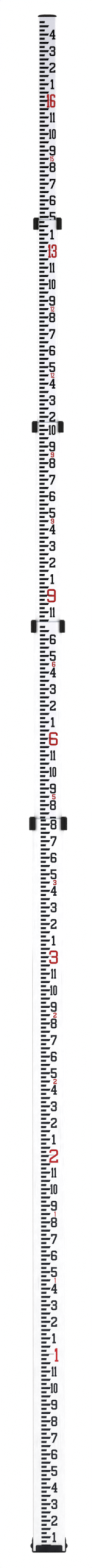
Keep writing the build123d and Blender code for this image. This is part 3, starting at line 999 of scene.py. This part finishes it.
def lay_number(bm, number, style, middle, z, flush_right=False):
    """Lay a number down, centred on a place or against the right of its usual box."""
    digits = [int(letter) for letter in str(number)]
    one, wide, stroke = (style[key] for key in ("one", "wide", "stroke"))
    if len(digits) > 1:
        one, wide, stroke = (style[key] for key in ("pair_one", "pair_wide", "pair_stroke"))
    elif number == 1:
        stroke = style["one_stroke"]
    widths = [one if digit == 1 else wide for digit in digits]
    room = sum(widths) + style["gap"] * (len(digits) - 1)
    x = middle - room / 2
    if flush_right:
        x = middle + style["wide"] / 2 - room
    foot = style is not REPEATS  # the small 1 is too narrow for a foot
    for digit, width in zip(digits, widths):
        shape = digit_shape(digit, width, style["tall"], stroke, style["ink"], foot)
        lay(bm, shape, (x + width / 2) * MM, z)
        x += width + style["gap"]


# %% [markdown]
# ## Fitting a print on its tube
#
# The tall red numbers reach past the flat front, on to the rounded corner. A print could be
# wrapped on with a modifier, but its long flat faces would cut through the curve. So the
# finished print is sliced at a few upright planes, and what lies past the flat is then let
# down on to the corner.

# %% Fit a print
SLICE = 0.6 * MM
SLICES = 6
SLICE_SNAP = 0.0001 * MM


def bend_round_tube(bm, n):
    """Set a flat print on the front of a tube, bent round its corners."""
    for side in (-1, 1):
        for step in range(SLICES):
            bmesh.ops.bisect_plane(
                bm, geom=bm.verts[:] + bm.edges[:] + bm.faces[:], dist=SLICE_SNAP,
                plane_co=(side * (FLAT_HALF + step * SLICE), 0, 0), plane_no=(1, 0, 0),
            )
    for vert in bm.verts:
        over = max(0.0, abs(vert.co.x) - FLAT_HALF)
        vert.co.y += tube[n][0].y + corner[n] - sqrt(max(0.0, corner[n] ** 2 - over**2))


def add_piece(name, bm, material, body):
    """Make a finished piece that moves with its section."""
    mesh = to_mesh(bm, name)
    mesh.materials.append(material)
    piece = add_object(name, mesh)
    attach(piece, body)
    print(name, "faces:", len(mesh.polygons))


# %% [markdown]
# ## Printing the sections
#
# A bar stands at every quarter inch with its top edge on the mark: long at the inch and half
# inch, short between, and cut back at the foot, where a thin leader runs on to the red
# number. A section is printed from what it shows when fully drawn out up to its top. Black
# and red make one piece each, as they were printed one after the other.

# %% Print the scale
QUARTERS_IN_INCH = 4
QUARTERS_IN_FOOT = 12 * QUARTERS_IN_INCH
FIRST_MARK = 0.5  # lowest mark of the staff, in inches
REPEAT_MARKS = (18, 34)  # quarters above a foot mark where the small red feet stand
PRINT_SHIFT = {1: 0.5, 2: -0.3, 3: -0.8, 4: -0.6, 5: 0.2}  # of the black print to the right, in mm
INCH_MIDDLE = 7.6  # middles of the numbers, in mm right of the staff's own middle
FOOT_MIDDLE = {1: 7.9, 2: 8.1, 3: 5.4, 4: 7.4, 5: 5.5}
REPEAT_MIDDLE = {1: 10.0, 2: 8.7, 3: 7.1, 4: 7.6, 5: 7.0}


def print_section(n):
    """Print the part of the scale that one section carries."""
    black, red = bmesh.new(), bmesh.new()
    top = tube[n][1].z
    first = FIRST_MARK if n == 1 else (rim[n - 1] + still_to_rise[n - 1]) / INCH
    last = (top + still_to_rise[n]) / INCH
    room_up = (INCHES["tall"] - BAR_TALL) * MM / 2  # of an inch number above its mark
    shift = PRINT_SHIFT[n]
    for quarter in range(ceil(first * QUARTERS_IN_INCH), floor(last * QUARTERS_IN_INCH) + 1):
        z = quarter * INCH / QUARTERS_IN_INCH - still_to_rise[n]
        middle_z = z - BAR_TALL * MM / 2
        feet, part = divmod(quarter, QUARTERS_IN_FOOT)
        inches, between = divmod(part, QUARTERS_IN_INCH)
        if between == 0 and z + room_up > top:
            continue
        if part % 2:
            lay(black, short_bar, shift * MM, z)
        elif part == 0:
            lay(black, foot_bar, shift * MM, z)
            lay_number(red, feet, FEET, FOOT_MIDDLE[n], middle_z, flush_right=True)
        else:
            lay(black, long_bar, shift * MM, z)
        if part and between == 0:
            lay_number(black, inches, INCHES, INCH_MIDDLE + shift, middle_z)
        if feet and part in REPEAT_MARKS and z + INCH / 2 + room_up < top:
            lay_number(red, feet, REPEATS, REPEAT_MIDDLE[n], middle_z)
    for name, bm, material in (("black", black, black_ink), ("red", red, red_ink)):
        bend_round_tube(bm, n)
        add_piece(f"scale_{name}_{n}", bm, material, f"section_{n}")


for n in SECTIONS:
    print_section(n)

# %% [markdown]
# ## The floor
#
# The photograph is a catalogue picture, taken on white paper with no edge to be seen. The
# paper could be swept up behind the staff, but a flat and very wide floor does as well. To the
# camera most of it is plain white, like the background, and the rest is a pale matt surface
# that keeps a little of the staff's shadow.

# %% Floor
WHITE = (1.0, 1.0, 1.0, 1.0)
FLOOR_GREY = (0.86, 0.86, 0.86, 1.0)
FLOOR_HALF = 60.0  # far past anything that the camera sees
PAPER_SHARE = 0.85  # how far the floor looks like white paper to the camera


def blend_shaders(tree, share, where_zero, where_one, end):
    """Blend two shaders by a share, and give the result to the tree's end node."""
    both = add_node(tree, "ShaderNodeMixShader")
    feed(tree, share, both.inputs["Fac"])
    tree.links.new(where_zero, both.inputs[1])
    tree.links.new(where_one, both.inputs[2])
    tree.links.new(both.outputs["Shader"], tree.nodes[end].inputs["Surface"])


bm = bmesh.new()
bmesh.ops.create_grid(bm, x_segments=1, y_segments=1, size=FLOOR_HALF)
floor_mesh = to_mesh(bm, "studio_floor")
studio_floor = add_object("studio_floor", floor_mesh)

floor_finish, tree, shader = new_finish("studio_floor", roughness=0.9, specular=0.0)
shader.inputs["Base Color"].default_value = FLOOR_GREY
paper = add_node(tree, "ShaderNodeEmission")
paper.inputs["Color"].default_value = WHITE
path = add_node(tree, "ShaderNodeLightPath")
share = calc(tree, "MULTIPLY", path.outputs["Is Camera Ray"], PAPER_SHARE)
blend_shaders(tree, share, shader.outputs["BSDF"], paper.outputs["Emission"], "Material Output")
floor_mesh.materials.append(floor_finish)
print("floor:", 2 * FLOOR_HALF, "m wide")

# %% [markdown]
# ## The light
#
# The staff is lit from both sides. Two tall soft lamps stand well out to the left and right,
# so that the rounded corners are as bright as the front, a third lights the back, and the
# world fills in. The world shows white only to the camera, to mirror-like reflections and
# through glass, so a white background costs no extra light on the staff.

# %% World and lamps
FILL = 0.58  # strength of the world's own light
world = bpy.data.worlds.new("studio")
bpy.context.scene.world = world
world.use_nodes = True
tree = world.node_tree
fill_light = tree.nodes["Background"]
fill_light.inputs["Color"].default_value = WHITE
fill_light.inputs["Strength"].default_value = FILL
backdrop = add_node(tree, "ShaderNodeBackground")
backdrop.inputs["Color"].default_value = WHITE
backdrop.inputs["Strength"].default_value = 1.0
path = add_node(tree, "ShaderNodeLightPath")
seen = calc(tree, "MAXIMUM", path.outputs["Is Camera Ray"], path.outputs["Is Glossy Ray"])
seen = calc(tree, "MAXIMUM", seen, path.outputs["Is Transmission Ray"])
fill_out, backdrop_out = fill_light.outputs["Background"], backdrop.outputs["Background"]
blend_shaders(tree, seen, fill_out, backdrop_out, "World Output")


def add_lamp(name, place, aim, watts, width, height):
    """A soft rectangular lamp turned towards a point."""
    light = bpy.data.lights.new(name, "AREA")
    light.shape = "RECTANGLE"
    light.size = width
    light.size_y = height
    light.energy = watts
    lamp = add_object(name, light)
    lamp.location = place
    lamp.rotation_euler = (Vector(aim) - Vector(place)).to_track_quat("-Z", "Y").to_euler()


SIDE_BOX = dict(aim=(0, 0, 1.3), width=1.2, height=3.0)
BACK_BOX = dict(aim=(0, 0, 1.1), width=1.6, height=2.4)
add_lamp("left_softbox", place=(-2.57, -1.49, 1.6), watts=40.0, **SIDE_BOX)
add_lamp("right_softbox", place=(2.66, -1.53, 1.6), watts=43.0, **SIDE_BOX)
add_lamp("back_softbox", place=(0.6, 3.0, 1.8), watts=34.0, **BACK_BOX)
print("lamps:", len(bpy.data.lights))

# %% [markdown]
# ## The camera
#
# The staff was photographed from far away at the level of its middle, and shows no
# perspective, so an orthographic camera suits it. One pixel of the 151 by 2576 frame is
# 0.9328 mm, taken from the printed inches. The staff stands a few pixels right of the middle
# and leans by a fifteenth of a degree, which a little roll of the camera repeats.

# %% Camera
FRAME_HIGH = 2576
PIXEL = 0.9328 * MM
STAFF_RIGHT = 3.29 * MM  # of the middle of the frame
FRAME_MIDDLE = 1178 * MM  # above the ground
CAMERA_AWAY = 6.0  # no matter how far, with no perspective
LEAN = radians(0.067)
camera_data = bpy.data.cameras.new("front_view")
camera_data.type = "ORTHO"
camera_data.ortho_scale = FRAME_HIGH * PIXEL
camera = add_object("front_view", camera_data)
camera.location = (-STAFF_RIGHT, -CAMERA_AWAY, FRAME_MIDDLE)
camera.rotation_euler = (pi / 2, LEAN, 0)
bpy.context.scene.camera = camera
bpy.context.scene.view_settings.view_transform = "Standard"
print("frame height:", round(camera_data.ortho_scale, 4), "m")
